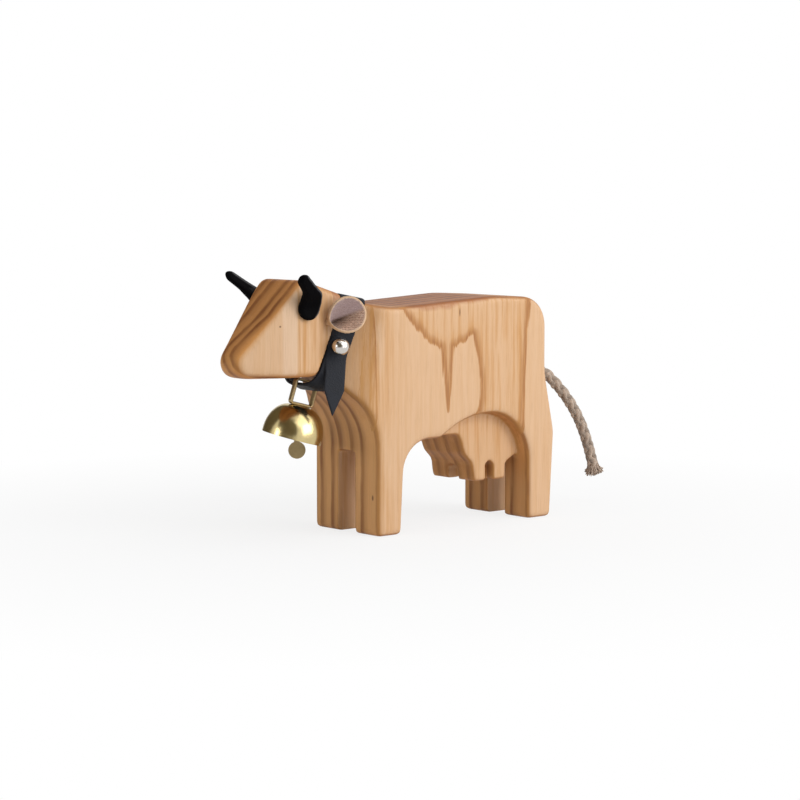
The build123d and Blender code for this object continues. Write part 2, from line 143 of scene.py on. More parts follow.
# Depth in the pale wood, in millimetres: on the neck by X, on the udder, and wherever the wood is plain
FLANK_START = 16.0
NECK_DEPTH = ((-36.0, -5.0), (-26.0, -6.5), (-19.6, -3.0), (-18.4, 2.0))
UDDER_ENDS = (22.0, 60.0)
UDDER_TOP = 52.0
UDDER_DEPTH = -5.0
PLAIN_DEPTH = 10.0

# The right flank has the left one's figure turned end for end, about half this X
FAR_PATCH_SHIFT = 44.0

# Lower edge of the dark end grain on the back, Z by X
DARK_BACK = (
    (-36.0, 120.0), (-35.0, 91.0), (-10.0, 88.6), (-4.7, 88.2), (1.7, 87.0), (9.9, 86.2), (17.4, 86.8),
    (23.2, 87.7), (30.0, 88.3), (37.0, 89.2), (42.0, 90.3), (52.0, 92.0), (80.0, 94.0),
)

# Cheek, neck and shoulder, by X: amber above 0, paler below it
SIDE_TONE = (
    (-58.5, 0.0), (-57.0, -0.6), (-52.2, -0.5), (-51.2, 1.0), (-48.0, 0.75), (-46.5, 1.0), (-43.5, 0.7),
    (-40.0, 0.9), (-36.0, 0.8), (-35.0, 0.0), (-30.0, 0.1), (-24.0, 0.5), (-19.0, 0.75), (-14.0, 0.5),
    (-8.0, 0.15), (-2.0, 0.0),
)

# Head, by X: where its forehead is amber, and where its muzzle is sanded rounder
BROW = ((-42.0, 1.0), (-34.0, 0.0))
MUZZLE = ((-70.0, 1.0), (-58.0, 0.0))

# Dark marks with their half sizes: a crack on the flank, a knot on a leg and a dot on the muzzle
SPECKS = (
    ((23.15, -20.0, 85.0), (0.4, 1.5, 2.0)),
    ((-18.0, -15.9, 14.9), (1.5, 0.7, 1.4)),
    ((-58.7, -11.0, 82.2), (0.5, 1.5, 0.5)),
)
SPECK_SHADE = 0.4

# Unevenness of the wood, in waves per millimetre: slow wobble, streaks and fibres, long along the grain
WOBBLE_GRAIN = (0.1, 0.25, 0.05)
STREAK_GRAIN = (0.55, 0.55, 0.022)
FIBRE_GRAIN = (3.2, 3.2, 0.1)

# Tint of the forehead, and the paler band on the cheek
BROW_TINT = (0.95, 0.84, 0.66)
SIDE_PALE = (0.76, 0.56, 0.4)

# The rope's route, as the part's source has it
ROPE_ROUTE = [
    Vector((55.5, 0.0, 62.5)) * MM,
    Vector((81.0, 0.0, 62.5)) * MM,
    Vector((101.0, 0.0, 47.5)) * MM,
    Vector((114.0, 0.0, 28.5)) * MM,
    Vector((118.5, 0.0, 12.0)) * MM,
]

# Steps along the route's spline, and how many of them give the way in which its end points
ROPE_STEPS = 64
ROPE_END_STEPS = 6

# Braid: a strand's radius per rope diameter, its inset and swing in strand radii, and its first turn
STRAND_SHARE = 0.21
STRAND_INSET = 1.25
STRAND_SWING = 0.2
BRAID_TURN = 1 / 16
STRAND_SIDES = 3
# Share of the hemp's colour on the strands of the other way: painted shade
HEMP_PAINTED_SHADE = 0.68

# Frayed end: number of fibres, and their radius per rope diameter
FRAY_SEED = 7
FRAY_COUNT = 220
FRAY_SHARE = 0.04
FRAY_SIDES = 1

# One fibre: start, length and bend in rope radii, shares of its reach, and its knee by length and flare
FRAY_START = 1.7
FRAY_LENGTH = (1.1, 1.7)
FRAY_BEND = 0.25
FRAY_SPREAD = 0.95
FRAY_FLARE = (0.2, 1.0)
FRAY_KNEE = (0.55, 0.35)

# Ears, in millimetres: root and slope of the fold in X and Z, middle and radius of the disc, and its rim
EAR_ROOT = (-37.6, 83.1)
EAR_SLOPE = 0.53
EAR_CENTRE = Vector((-32.2, 17.53, 85.95))
EAR_RADIUS = 7.6
EAR_RIM = 0.25
EAR_PASSES = 5

# Colours of the ears: their suede inside, their tan outside, their raw rim and their root
SUEDE_SHADE = (0.42, 0.36, 0.33)
SUEDE_NAP = (0.62, 0.46, 0.36)
SUEDE_RIM = (0.8, 0.58, 0.42)
# Painted shade in the crease along the ear's fold, near its root
CREASE_PAINTED_SHADE = (0.06, 0.03, 0.02)
TAN_SHADE = (0.33, 0.16, 0.06)
RAW_PALE = (0.85, 0.62, 0.42)
RAW_DARK = (0.5, 0.3, 0.16)
ROOT_TAN = (0.58, 0.35, 0.18)

# Horns and collar: how long they are softened, and the way in which a cut edge of other colour faces; the
# horns' paler cut edge is partly a painted highlight
HORN_PASSES = 45
HORN_EDGE_HIGHLIGHT_FACING = Vector((4.5, 0.0, 1.0))
HORN_CUT_EDGE_HIGHLIGHT = (0.065, 0.064, 0.066)
STRAP_PASSES = 4
STRAP_LEAN = math.radians(20)
STRAP_EDGE = Vector((math.cos(STRAP_LEAN), 0.0, -math.sin(STRAP_LEAN)))
STRAP_CUT_SHADE = 0.5


class CowWoodSettings(bpy.types.PropertyGroup):
    """Wood of the carved figure."""

    voxel: FloatProperty(
        name="Sanding grain",
        description="Mesh size with which the sawn block is sanded",
        default=0.75 * MM,
        unit="LENGTH",
        precision=5,
    )
    sanding: IntProperty(
        name="Sanding passes",
        description="How softly edges are sanded",
        default=4,
        min=0,
    )
    muzzle: IntProperty(
        name="Muzzle passes",
        description="How much rounder the muzzle is sanded",
        default=50,
        min=0,
    )
    pale: FloatVectorProperty(
        name="Early wood",
        description="Pale wood between the growth lines",
        default=(0.66, 0.425, 0.25),
        subtype="COLOR",
    )
    amber: FloatVectorProperty(
        name="Amber figure",
        description="Streaks and flank figure of late wood",
        default=(0.53, 0.257, 0.076),
        subtype="COLOR",
    )
    late: FloatVectorProperty(
        name="Late wood",
        description="Darkest part of the flank figure",
        default=(0.33, 0.135, 0.045),
        subtype="COLOR",
    )
    line: FloatVectorProperty(
        name="Growth line",
        description="Dark line at the end of a growth ring",
        default=(0.26, 0.1, 0.028),
        subtype="COLOR",
    )
    edge_grain: FloatVectorProperty(
        name="Edge grain",
        description="Wood between the growth lines where the rings are cut across",
        default=(0.66, 0.345, 0.13),
        subtype="COLOR",
    )
    end_grain: FloatVectorProperty(
        name="End grain",
        description="How end grain darkens the wood",
        default=(0.7, 0.53, 0.45),
        subtype="COLOR",
    )


class CowLeatherSettings(bpy.types.PropertyGroup):
    """Leather of horns, ears and collar."""

    voxel: FloatProperty(
        name="Cut edge grain",
        description="Mesh size with which cut leather is softened",
        default=0.3 * MM,
        unit="LENGTH",
        precision=5,
    )
    swell: FloatProperty(
        name="Horn swell",
        description="How far a softened horn swells back to its cut size",
        default=0.5 * MM,
        unit="LENGTH",
        precision=5,
    )
    black: FloatVectorProperty(
        name="Horn leather",
        description="Matte black horns",
        default=(0.0016, 0.0014, 0.0018),
        subtype="COLOR",
    )
    slate: FloatVectorProperty(
        name="Collar leather",
        description="Dark slate collar",
        default=(0.0145, 0.016, 0.021),
        subtype="COLOR",
    )
    suede: FloatVectorProperty(
        name="Ear inside",
        description="Suede inside of the ears",
        default=(0.62, 0.39, 0.28),
        subtype="COLOR",
    )
    # Upper half of the ear's inside: smooth suede, painted paler as the half that is lit
    lit_lavender: FloatVectorProperty(
        name="Ear fold",
        description="Smooth upper half of the ear's inside",
        default=(0.42, 0.3, 0.29),
        subtype="COLOR",
    )
    tan: FloatVectorProperty(
        name="Ear outside",
        description="Tan grain side of the ears",
        default=(0.5, 0.27, 0.11),
        subtype="COLOR",
    )


class CowMetalSettings(bpy.types.PropertyGroup):
    """Brass and nickel of bell and stud."""

    brass: FloatVectorProperty(
        name="Bell brass",
        description="Polished brass of the bell",
        default=(0.62, 0.5, 0.25),
        subtype="COLOR",
    )
    strip: FloatVectorProperty(
        name="Strip brass",
        description="Dull brass of bail and clapper",
        default=(0.48, 0.36, 0.19),
        subtype="COLOR",
    )
    nickel: FloatVectorProperty(
        name="Nickel",
        description="Polished stud",
        default=(0.62, 0.59, 0.56),
        subtype="COLOR",
    )


class CowTailSettings(bpy.types.PropertyGroup):
    """Braided rope of the tail."""

    diameter: FloatProperty(
        name="Rope diameter",
        description="Outside of the braid",
        default=5.0 * MM,
        unit="LENGTH",
        precision=5,
    )
    strands: IntProperty(
        name="Strands each way",
        description="Strands that wind each way",
        default=4,
        min=2,
    )
    pitch: FloatProperty(
        name="Braid pitch",
        description="Length of one turn of a strand",
        default=24.0 * MM,
        unit="LENGTH",
        precision=5,
    )
    hemp: FloatVectorProperty(
        name="Hemp",
        description="Colour of the fibres",
        default=(0.45, 0.35, 0.275),
        subtype="COLOR",
    )


class CowStageSettings(bpy.types.PropertyGroup):
    """Floor and lamps."""

    key_power: FloatProperty(
        name="Key lamp",
        description="Power of the large lamp at the right",
        default=6.6,
        unit="POWER",
    )
    fill: FloatProperty(
        name="Room light",
        description="Strength of the light all round",
        default=0.4,
        min=0.0,
    )


SETTINGS = {
    "cow_wood": CowWoodSettings,
    "cow_leather": CowLeatherSettings,
    "cow_metal": CowMetalSettings,
    "cow_tail": CowTailSettings,
    "cow_stage": CowStageSettings,
}


# Selecting and finishing objects
def activate(obj):
    """Leaves obj as the only selected object."""
    if bpy.context.object and bpy.context.object.mode != "OBJECT":
        bpy.ops.object.mode_set(mode="OBJECT")
    bpy.ops.object.select_all(action="DESELECT")
    obj.select_set(True)
    bpy.context.view_layer.objects.active = obj


def apply_modifier(obj, kind, **values):
    """Adds a modifier, sets its values and applies it."""
    activate(obj)
    modifier = obj.modifiers.new(kind.title(), kind)
    for name, value in values.items():
        setattr(modifier, name, value)
    bpy.ops.object.modifier_apply(modifier=modifier.name)


def copy_of_node(node, name):
    """A merged copy of a CAD node's mesh as a new piece."""
    source = frame["nodes"][node]
    activate(source)
    bpy.ops.object.duplicate()
    piece = bpy.context.object
    piece.parent = None
    piece.name = name
    piece.data.name = name
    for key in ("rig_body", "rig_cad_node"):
        del piece[key]
    piece.data.materials.clear()
    bpy.ops.mesh.customdata_custom_splitnormals_clear()
    bpy.ops.object.mode_set(mode="EDIT")
    bpy.ops.mesh.select_all(action="SELECT")
    bpy.ops.mesh.remove_doubles(threshold=WELD_DISTANCE)
    bpy.ops.object.mode_set(mode="OBJECT")
    return piece


def soften(piece, voxel, passes):
    """Remeshes a piece finely and smooths it, as sanding or wear does."""
    apply_modifier(piece, "REMESH", mode="VOXEL", voxel_size=voxel, use_smooth_shade=True)
    apply_modifier(piece, "SMOOTH", factor=0.5, iterations=passes)


def store(piece, name, values):
    """Stores one value for every point of a piece's mesh."""
    layer = piece.data.attributes.new(name, "FLOAT", "POINT")
    layer.data.foreach_set("value", values)


def settle(piece, node, body="figure"):
    """Lets a piece stand for a CAD node."""
    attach(piece, body)
    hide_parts(node)


def dress(piece, material):
    """Gives a piece one material."""
    piece.data.materials.clear()
    piece.data.materials.append(material)


# Materials
def with_alpha(colour):
    """A colour as four numbers, or a socket left as it is."""
    if isinstance(colour, bpy.types.NodeSocket):
        return colour
    return (*tuple(colour)[:3], 1.0)


def shaded(colour, share):
    """A colour made darker or lighter by a share, no channel above 1."""
    return [min(1.0, value * share) for value in colour]


class Nodes:
    """Node tree, with short ways to add to it."""

    def __init__(self, tree):
        self.nodes = tree.nodes
        self.links = tree.links

    def node(self, kind, links=None, **values):
        """A node with attributes set, and inputs linked or set by their name or index."""
        node = self.nodes.new(kind)
        for name, value in values.items():
            setattr(node, name, value)
        for name, value in (links or {}).items():
            if isinstance(value, bpy.types.NodeSocket):
                self.links.new(value, node.inputs[name])
            else:
                node.inputs[name].default_value = value
        return node

    def coordinates(self, kind):
        """One kind of texture coordinates."""
        return self.node("ShaderNodeTexCoord").outputs[kind]

    def rays(self):
        """What kind of ray meets the surface."""
        return self.node("ShaderNodeLightPath").outputs

    def math(self, operation, first, second=0.0, clamp=False):
        """One arithmetic step."""
        step = self.node("ShaderNodeMath", {0: first, 1: second}, operation=operation, use_clamp=clamp)
        return step.outputs[0]

    def vector(self, operation, *inputs):
        """One step with vectors that gives a number."""
        step = self.node("ShaderNodeVectorMath", dict(enumerate(inputs)), operation=operation)
        return step.outputs["Value"]

    def spread(self, value, low, high, to_low=0.0, to_high=1.0):
        """Value taken from one range to another, clamped."""
        values = {"Value": value, "From Min": low, "From Max": high, "To Min": to_low, "To Max": to_high}
        return self.node("ShaderNodeMapRange", values).outputs["Result"]


class Finish(Nodes):
    """Node tree of one material, built around a principled shader."""

    def __init__(self, name, **values):
        self.material = bpy.data.materials.new(name)
        self.material.use_nodes = True
        super().__init__(self.material.node_tree)
        self.shader = self.nodes["Principled BSDF"]
        for socket, value in values.items():
            self.shader.inputs[socket.replace("_", " ")].default_value = value

    def place(self, scale=(1, 1, 1), shift=(0, 0, 0)):
        """Object coordinates in millimetres, then scaled and shifted."""
        scaled = [value / MM for value in scale]
        values = {"Vector": self.coordinates("Object"), "Scale": scaled, "Location": shift}
        return self.node("ShaderNodeMapping", values).outputs["Vector"]

    def even_place(self, scale):
        """Object coordinates in millimetres, scaled alike all ways."""
        return self.place((scale, scale, scale))

    def mark(self, name):
        """A value stored on the mesh."""
        return self.node("ShaderNodeAttribute", attribute_name=name).outputs["Fac"]

    def facing(self, direction):
        """How far the surface faces along a direction of the object."""
        return self.vector("DOT_PRODUCT", self.coordinates("Normal"), direction)

    def lying(self, direction):
        """How far the surface faces along a direction of the object, either way."""
        return self.math("ABSOLUTE", self.facing(direction))

    def noise(self, vector, detail=3.0, roughness=0.5):
        """Noise from 0 to 1."""
        values = {"Vector": vector, "Scale": 1.0, "Detail": detail, "Roughness": roughness}
        return self.node("ShaderNodeTexNoise", values).outputs["Fac"]

    def mix(self, factor, first, second, blend="MIX"):
        """Two colours mixed."""
        values = {"Factor": factor, 6: with_alpha(first), 7: with_alpha(second)}
        return self.node("ShaderNodeMix", values, data_type="RGBA", blend_type=blend).outputs[2]

    def tint(self, factor, tone, colour):
        """A tone multiplied by a colour, as far as the factor goes."""
        return self.mix(factor, tone, self.mix(1.0, tone, colour, "MULTIPLY"))

    def ramp(self, value, stops):
        """Colour along a ramp."""
        node = self.node("ShaderNodeValToRGB", {"Fac": value})
        elements = node.color_ramp.elements
        while len(elements) < len(stops):
            elements.new(0.5)
        for element, (position, colour) in zip(elements, stops):
            element.position = position
            element.color = with_alpha(colour)
        return node.outputs["Color"]

    def bump(self, height, distance):
        """Surface relief, its distance in millimetres."""
        values = {"Height": height, "Distance": distance * MM, "Strength": 1.0}
        bumped = self.node("ShaderNodeBump", values)
        self.links.new(bumped.outputs["Normal"], self.shader.inputs["Normal"])

    def colour(self, socket):
        """The shader's base colour."""
        self.links.new(socket, self.shader.inputs["Base Color"])

    def rough(self, socket):
        """The shader's roughness."""
        self.links.new(socket, self.shader.inputs["Roughness"])


# Grain of the figure
def ring_stops(pale, line):
    """Ramp stops across the plank: a soft dark line at the end of every growth ring."""
    low, high = RING_SPAN
    stops = []
    for place in GROWTH_LINES:
        for offset, share in RING_PROFILE:
            colour = [(1.0 - share) * a + share * b for a, b in zip(pale, line)]
            stops.append(((place + offset - low) / (high - low), colour))
    return stops


def between(table, value):
    """Value read from a table of pairs, straight between them and level past its ends."""
    if value <= table[0][0]:
        return table[0][1]
    for (start, first), (end, second) in zip(table, table[1:]):
        if value <= end:
            return first + (second - first) * (value - start) / (end - start)
    return table[-1][1]


def ring_place(x, y, z):
    """Where a point of the wood lies across the growth rings."""
    if x < HEAD_END:
        bent = y - between(HEAD_BEND, x) * between(HEAD_BEND_SHARE, z)
        return between(tuple(zip(HEAD_LINES, GROWTH_LINES)), bent)
    return y - between(CHEST_BEND, z) * max(0.0, CHEST_END - x)


def patch_depth(x, z):
    """How deep a point of the flank lies inside the pale patch, negative outside it."""
    nearest = math.inf
    inside = False
    for (x1, z1), (x2, z2) in zip(PALE_PATCH, PALE_PATCH[1:] + PALE_PATCH[:1]):
        dx, dz = x2 - x1, z2 - z1
        share = ((x - x1) * dx + (z - z1) * dz) / (dx * dx + dz * dz)
        share = min(1.0, max(0.0, share))
        nearest = min(nearest, math.hypot(x - x1 - share * dx, z - z1 - share * dz))
        if (z1 > z) != (z2 > z) and x < x1 + (z - z1) / dz * dx:
            inside = not inside
    return nearest if inside else -nearest


def flank_depth(x, y, z):
    """Depth in the pale wood of neck, flank and udder; other faces count as deep inside."""
    if abs(y) < FLANK_START:
        on_udder = UDDER_ENDS[0] < x < UDDER_ENDS[1] and z < UDDER_TOP
        return UDDER_DEPTH if on_udder else PLAIN_DEPTH
    if x < HEAD_END:
        return PLAIN_DEPTH
    if x < CHEST_END:
        return between(NECK_DEPTH, x)
    near_x = x if y < 0 else FAR_PATCH_SHIFT - x
    return max(patch_depth(near_x, z), near_x - between(RUMP_LINE, z))


def mark_grain(figure):
    """Stores the run of the grain on the figure's mesh."""
    marks = {
        "ring": ring_place,
        "flank": flank_depth,
        "back": lambda x, y, z: z - between(DARK_BACK, x),
        "side": lambda x, y, z: between(SIDE_TONE, x),
        "brow": lambda x, y, z: between(BROW, x),
    }
    places = [vertex.co / MM for vertex in figure.data.vertices]
    for name, rule in marks.items():
        store(figure, name, [rule(*place) for place in places])


class WoodFinish(Finish):
    """Plank with upright grain: ring lines, amber figure on the flanks, darker end grain on top."""

    def __init__(self):
        super().__init__("sanded_wood", Specular_IOR_Level=0.3)
        self.own = bpy.context.scene.cow_wood
        self.wobble = self.noise(self.place(WOBBLE_GRAIN))
        self.streaks = self.noise(self.place(STREAK_GRAIN), detail=5.0, roughness=0.62)
        self.fibres = self.noise(self.place(FIBRE_GRAIN), detail=4.0, roughness=0.6)
        self.sawn = self.spread(self.lying(SIDEWAYS), 0.6, 0.92)
        self.drift = self.spread(self.wobble, 0.2, 0.8, -0.9, 0.9)
        tone = self.mix(self.sawn, self.ring_lines(), self.own.pale)
        tone = self.mix(self.spread(self.streaks, 0.42, 0.72, 0.0, 0.3), tone, self.own.amber)
        tone = self.flank_figure(tone)
        tone = self.head_and_shoulder(tone)
        tone = self.cut_ends(tone)
        tone = self.mix(self.spread(self.fibres, 0.52, 0.8, 0.0, 0.3), tone, self.own.line)
        self.colour(self.specks(tone))
        self.rough(self.spread(self.streaks, 0.3, 0.7, 0.45, 0.6))
        self.bump(self.math("ADD", self.fibres, self.streaks), 0.05)

    def ring_lines(self):
        """Dark lines where the rings are cut across, stained on the corners of the trunk."""
        own = self.own
        ring = self.math("ADD", self.mark("ring"), self.drift)
        lines = self.ramp(self.spread(ring, *RING_SPAN), ring_stops(own.edge_grain, own.line))
        lines = self.mix(self.spread(self.wobble, 0.35, 0.65, 0.0, 0.4), lines, own.edge_grain)
        corner = self.spread(self.lying(SIDEWAYS), 0.05, 0.35)
        corner = self.math("SUBTRACT", corner, self.mark("brow"), clamp=True)
        stain = self.mix(self.spread(self.wobble, 0.46, 0.66), own.amber, own.late)
        return self.mix(self.math("MULTIPLY", corner, 0.7), lines, stain)

    def flank_figure(self, tone):
        """Amber along the edge of the pale wood, late wood at its peak, and veins outside it."""
        own = self.own
        jagged = self.math("ADD", self.mark("flank"), self.spread(self.streaks, 0.3, 0.7, -1.2, 1.2))
        stops = [(position, (share, share, share)) for position, share in FIGURE_STOPS]
        tone = self.mix(self.ramp(self.spread(jagged, *FIGURE_SPAN), stops), tone, own.amber)
        rise, fall = self.spread(jagged, -3.6, -0.9), self.spread(jagged, -0.3, 0.5, 1.0, 0.0)
        peak = self.math("MULTIPLY", rise, fall)
        peak = self.math("MULTIPLY", peak, self.spread(self.fibres, 0.38, 0.6, 0.35, 1.0))
        tone = self.mix(self.math("MULTIPLY", peak, self.sawn), tone, own.late)
        outside = self.spread(jagged, -3.0, -0.5, 1.0, 0.0)
        veins = self.math("MULTIPLY", outside, self.spread(self.streaks, 0.5, 0.62))
        return self.mix(self.math("MULTIPLY", veins, 0.55), tone, own.amber)

    def head_and_shoulder(self, tone):
        """Amber forehead, and amber and paler bands on cheek, neck and shoulder."""
        brow = self.math("SUBTRACT", self.mark("brow"), self.sawn, clamp=True)
        tone = self.tint(brow, tone, BROW_TINT)
        side = self.math("MULTIPLY", self.mark("side"), self.sawn)
        amber = self.math("MULTIPLY", side, self.spread(self.streaks, 0.35, 0.65), clamp=True)
        tone = self.mix(amber, tone, self.own.amber)
        return self.mix(self.spread(side, -0.6, 0.0, 0.5, 0.0), tone, SIDE_PALE)

    def cut_ends(self, tone):
        """Darker end grain along the back and on every face that looks up or down."""
        crown = self.math("ADD", self.mark("back"), self.drift)
        tone = self.tint(self.spread(crown, -0.6, 0.9, 0.0, 0.85), tone, self.own.end_grain)
        level = self.spread(self.lying(UPRIGHT), 0.35, 0.8, 0.0, 0.5)
        return self.tint(level, tone, self.own.end_grain)

    def specks(self, tone):
        """Small dark marks."""
        speck = shaded(self.own.line, SPECK_SHADE)
        for centre, size in SPECKS:
            scale = [1.0 / half for half in size]
            shift = [-value / half for value, half in zip(centre, size)]
            away = self.vector("LENGTH", self.place(scale, shift))
            tone = self.mix(self.spread(away, 0.4, 1.0, 0.8, 0.0), tone, speck)
        return tone


def round_muzzle(figure, passes):
    """Sands the muzzle rounder than the rest."""
    group = figure.vertex_groups.new(name="muzzle")
    for vertex in figure.data.vertices:
        weight = between(MUZZLE, vertex.co.x / MM)
        if weight > 0.0:
            group.add([vertex.index], weight, "REPLACE")
    apply_modifier(figure, "SMOOTH", factor=0.5, iterations=passes, vertex_group="muzzle")
    figure.vertex_groups.clear()


class COW_OT_wooden_figure(bpy.types.Operator):
    """Sands the sawn block and gives it its wood"""

    bl_idname = "cow.wooden_figure"
    bl_label = "Wooden figure"

    def execute(self, context):
        own = context.scene.cow_wood
        figure = copy_of_node("wooden_body", "carved_figure")
        soften(figure, own.voxel, own.sanding)
        round_muzzle(figure, own.muzzle)
        mark_grain(figure)
        dress(figure, WoodFinish().material)
        settle(figure, "wooden_body")
        return {"FINISHED"}


# Leather
def leather_finish(name, colour, edge, across, grain, shine, sheen):
    """Leather with pebbled grain, another colour on the cut edge that faces along a direction, which on
    the horns is partly a painted highlight.
    """
    finish = Finish(name, Specular_IOR_Level=sheen)
    values = {"Vector": finish.place(), "Scale": grain}
    pebbles = finish.node("ShaderNodeTexVoronoi", values, feature="SMOOTH_F1")
    patches = finish.noise(finish.even_place(0.25), detail=4.0)
    worn = finish.mix(finish.spread(patches, 0.35, 0.75, 0.0, 0.5), colour, shaded(colour, 1.8))
    cut = finish.spread(finish.facing(across), 0.65, 0.9)
    finish.colour(finish.mix(cut, worn, edge))
    finish.rough(finish.spread(patches, 0.3, 0.7, shine, shine + 0.14))
    finish.bump(pebbles.outputs["Distance"], 0.12)
    return finish.material


class COW_OT_leather_horns(bpy.types.Operator):
    """Cuts both horns from black leather"""

    bl_idname = "cow.leather_horns"
    bl_label = "Leather horns"

    def execute(self, context):
        own = context.scene.cow_leather
        # The horns' paler cut edge, on the faces that point backwards, is partly a painted highlight
        leather = leather_finish(
            "horn_leather", own.black, HORN_CUT_EDGE_HIGHLIGHT, HORN_EDGE_HIGHLIGHT_FACING, grain=1.6, shine=0.7, sheen=0.04
        )
        for side in ("left", "right"):
            horn = copy_of_node(f"horn_{side}", f"leather_horn_{side}")
            soften(horn, own.voxel, HORN_PASSES)
            apply_modifier(horn, "DISPLACE", strength=own.swell, mid_level=0.0)
            dress(horn, leather)
            settle(horn, f"horn_{side}")
        return {"FINISHED"}


def suede_finish():
    """Inside of the ears: smooth lavender above the fold, painted paler as the lit half, nap in rows below
    it, painted browner as the shaded half, and painted shade along the fold near the root.
    """
    own = bpy.context.scene.cow_leather
    nappy = {"Roughness": 0.95, "Specular_IOR_Level": 0.1, "Sheen_Weight": 0.2, "Sheen_Roughness": 0.5}
    finish = Finish("ear_suede", **nappy)
    waves = {"Scale": 0.5, "Distortion": 6.0, "Detail": 3.0, "Detail Scale": 3.5}
    values = {"Vector": finish.place(), **waves}
    rows = finish.node("ShaderNodeTexWave", values, bands_direction="Z").outputs["Fac"]
    nap = finish.noise(finish.place((1.1, 1.1, 2.6)), detail=5.0, roughness=0.75)
    soft = finish.math("ADD", finish.mark("fold"), finish.spread(nap, 0.3, 0.7, -0.5, 0.5))
    dark = finish.mix(1.0, own.suede, SUEDE_SHADE, "MULTIPLY")
    woven = finish.mix(finish.spread(rows, 0.2, 0.8, 0.0, 0.9), own.suede, dark)
    woven = finish.mix(finish.spread(nap, 0.5, 0.66, 0.0, 0.75), woven, SUEDE_NAP)
    smooth = finish.mix(finish.spread(nap, 0.35, 0.7, 0.0, 0.3), own.lit_lavender, dark)
    # Painted light and shade: paler lit half above the fold, browner half with its nap rows below it as if
    # in grazing light
    tone = finish.mix(finish.spread(soft, -0.4, 0.9), woven, smooth)
    # Painted shade: dark just below the fold and near the root, where the crease lies in shadow
    below, above = finish.spread(soft, -3.4, -0.1), finish.spread(soft, 0.1, 1.2, 1.0, 0.0)
    crease_shade = finish.math("MULTIPLY", below, above)
    crease_shade = finish.math("MULTIPLY", crease_shade, finish.spread(finish.mark("root"), 3.0, 10.0, 1.0, 0.0))
    tone = finish.mix(crease_shade, tone, CREASE_PAINTED_SHADE)
    ragged = finish.math("ADD", finish.mark("rim"), finish.spread(nap, 0.3, 0.7, -0.4, 0.4))
    finish.colour(finish.mix(finish.spread(ragged, 0.2, 0.7, 0.8, 0.0), tone, SUEDE_RIM))
    finish.bump(finish.math("ADD", nap, rows), 0.15)
    return finish.material


def root_tone(finish, tone):
    """A tone that turns to light tan where the ear's root is pressed into its hole."""
    return finish.mix(finish.spread(finish.mark("root"), 1.0, 4.0, 0.8, 0.0), tone, ROOT_TAN)


def tan_finish():
    """Outside of the ears: smooth tan grain."""
    own = bpy.context.scene.cow_leather
    finish = Finish("ear_tan", Roughness=0.55, Specular_IOR_Level=0.35)
    patches = finish.noise(finish.even_place(0.5), detail=5.0)
    tone = finish.mix(finish.spread(patches, 0.3, 0.7), own.tan, TAN_SHADE)
    finish.colour(root_tone(finish, tone))
    finish.bump(finish.noise(finish.even_place(3.0), detail=4.0), 0.1)
    return finish.material


def rim_finish():
    """Raw cut rim of the ears."""
    finish = Finish("ear_rim", Roughness=0.9, Specular_IOR_Level=0.2)
    fibres = finish.noise(finish.even_place(2.5), detail=5.0, roughness=0.7)
    finish.colour(root_tone(finish, finish.mix(fibres, RAW_PALE, RAW_DARK)))
    finish.bump(fibres, 0.2)
    return finish.material


def rim_depth(place):
    """How far a point of an ear, in millimetres, lies inside the round rim."""
    return EAR_RADIUS - (Vector((place.x, abs(place.y), place.z)) - EAR_CENTRE).length


def mark_fold(ear):
    """Stores on an ear how far each point lies above the fold, from the root and inside the rim."""
    root_x, root_z = EAR_ROOT
    places = [vertex.co / MM for vertex in ear.data.vertices]
    store(ear, "fold", [(place.z - root_z) - EAR_SLOPE * (place.x - root_x) for place in places])
    store(ear, "root", [math.hypot(place.x - root_x, place.z - root_z) for place in places])
    store(ear, "rim", [rim_depth(place) for place in places])


def paint_ear(ear, out_side):
    """Suede on the side that faces outwards, tan on its back and a raw rim between them."""
    suede, tan, raw = range(3)
    for face in ear.data.polygons:
        flat = suede if face.normal.y * out_side > 0.0 else tan
        face.material_index = raw if rim_depth(face.center / MM) < EAR_RIM else flat


class COW_OT_leather_ears(bpy.types.Operator):
    """Softens both ears, folded suede-sided leather discs, and gives their sides and rim their finishes"""

    bl_idname = "cow.leather_ears"
    bl_label = "Leather ears"

    def execute(self, context):
        own = context.scene.cow_leather
        finishes = [suede_finish(), tan_finish(), rim_finish()]
        for side, out_side in (("left", -1), ("right", 1)):
            ear = copy_of_node(f"ear_{side}", f"leather_ear_{side}")
            soften(ear, own.voxel, EAR_PASSES)
            for finish in finishes:
                ear.data.materials.append(finish)
            mark_fold(ear)
            paint_ear(ear, out_side)
            settle(ear, f"ear_{side}")
        return {"FINISHED"}


class COW_OT_collar(bpy.types.Operator):
    """Lays the leather collar round the neck"""

    bl_idname = "cow.collar"
    bl_label = "Collar"

    def execute(self, context):
        own = context.scene.cow_leather
        collar = copy_of_node("collar_strap", "leather_collar")
        soften(collar, own.voxel, STRAP_PASSES)
        edge = shaded(own.slate, STRAP_CUT_SHADE)
        leather = leather_finish(
            "collar_leather", own.slate, edge, STRAP_EDGE, grain=2.4, shine=0.5, sheen=0.16
        )
        dress(collar, leather)
        settle(collar, "collar_strap")
        return {"FINISHED"}


# Metal
def metal_finish(name, colour, roughness, dulling):
    """Metal with faint handling marks."""
    finish = Finish(name, Metallic=1.0)
    clouds = finish.noise(finish.even_place(0.22), detail=5.0, roughness=0.6)
    scratches = finish.noise(finish.place((2.0, 2.0, 9.0)))
    tarnish = shaded(colour, 0.62)
    finish.colour(finish.mix(finish.spread(clouds, 0.42, 0.72, 0.0, dulling), colour, tarnish))
    finish.rough(finish.spread(clouds, 0.3, 0.75, roughness, roughness + 0.12))
    finish.bump(scratches, 0.01)
    return finish.material


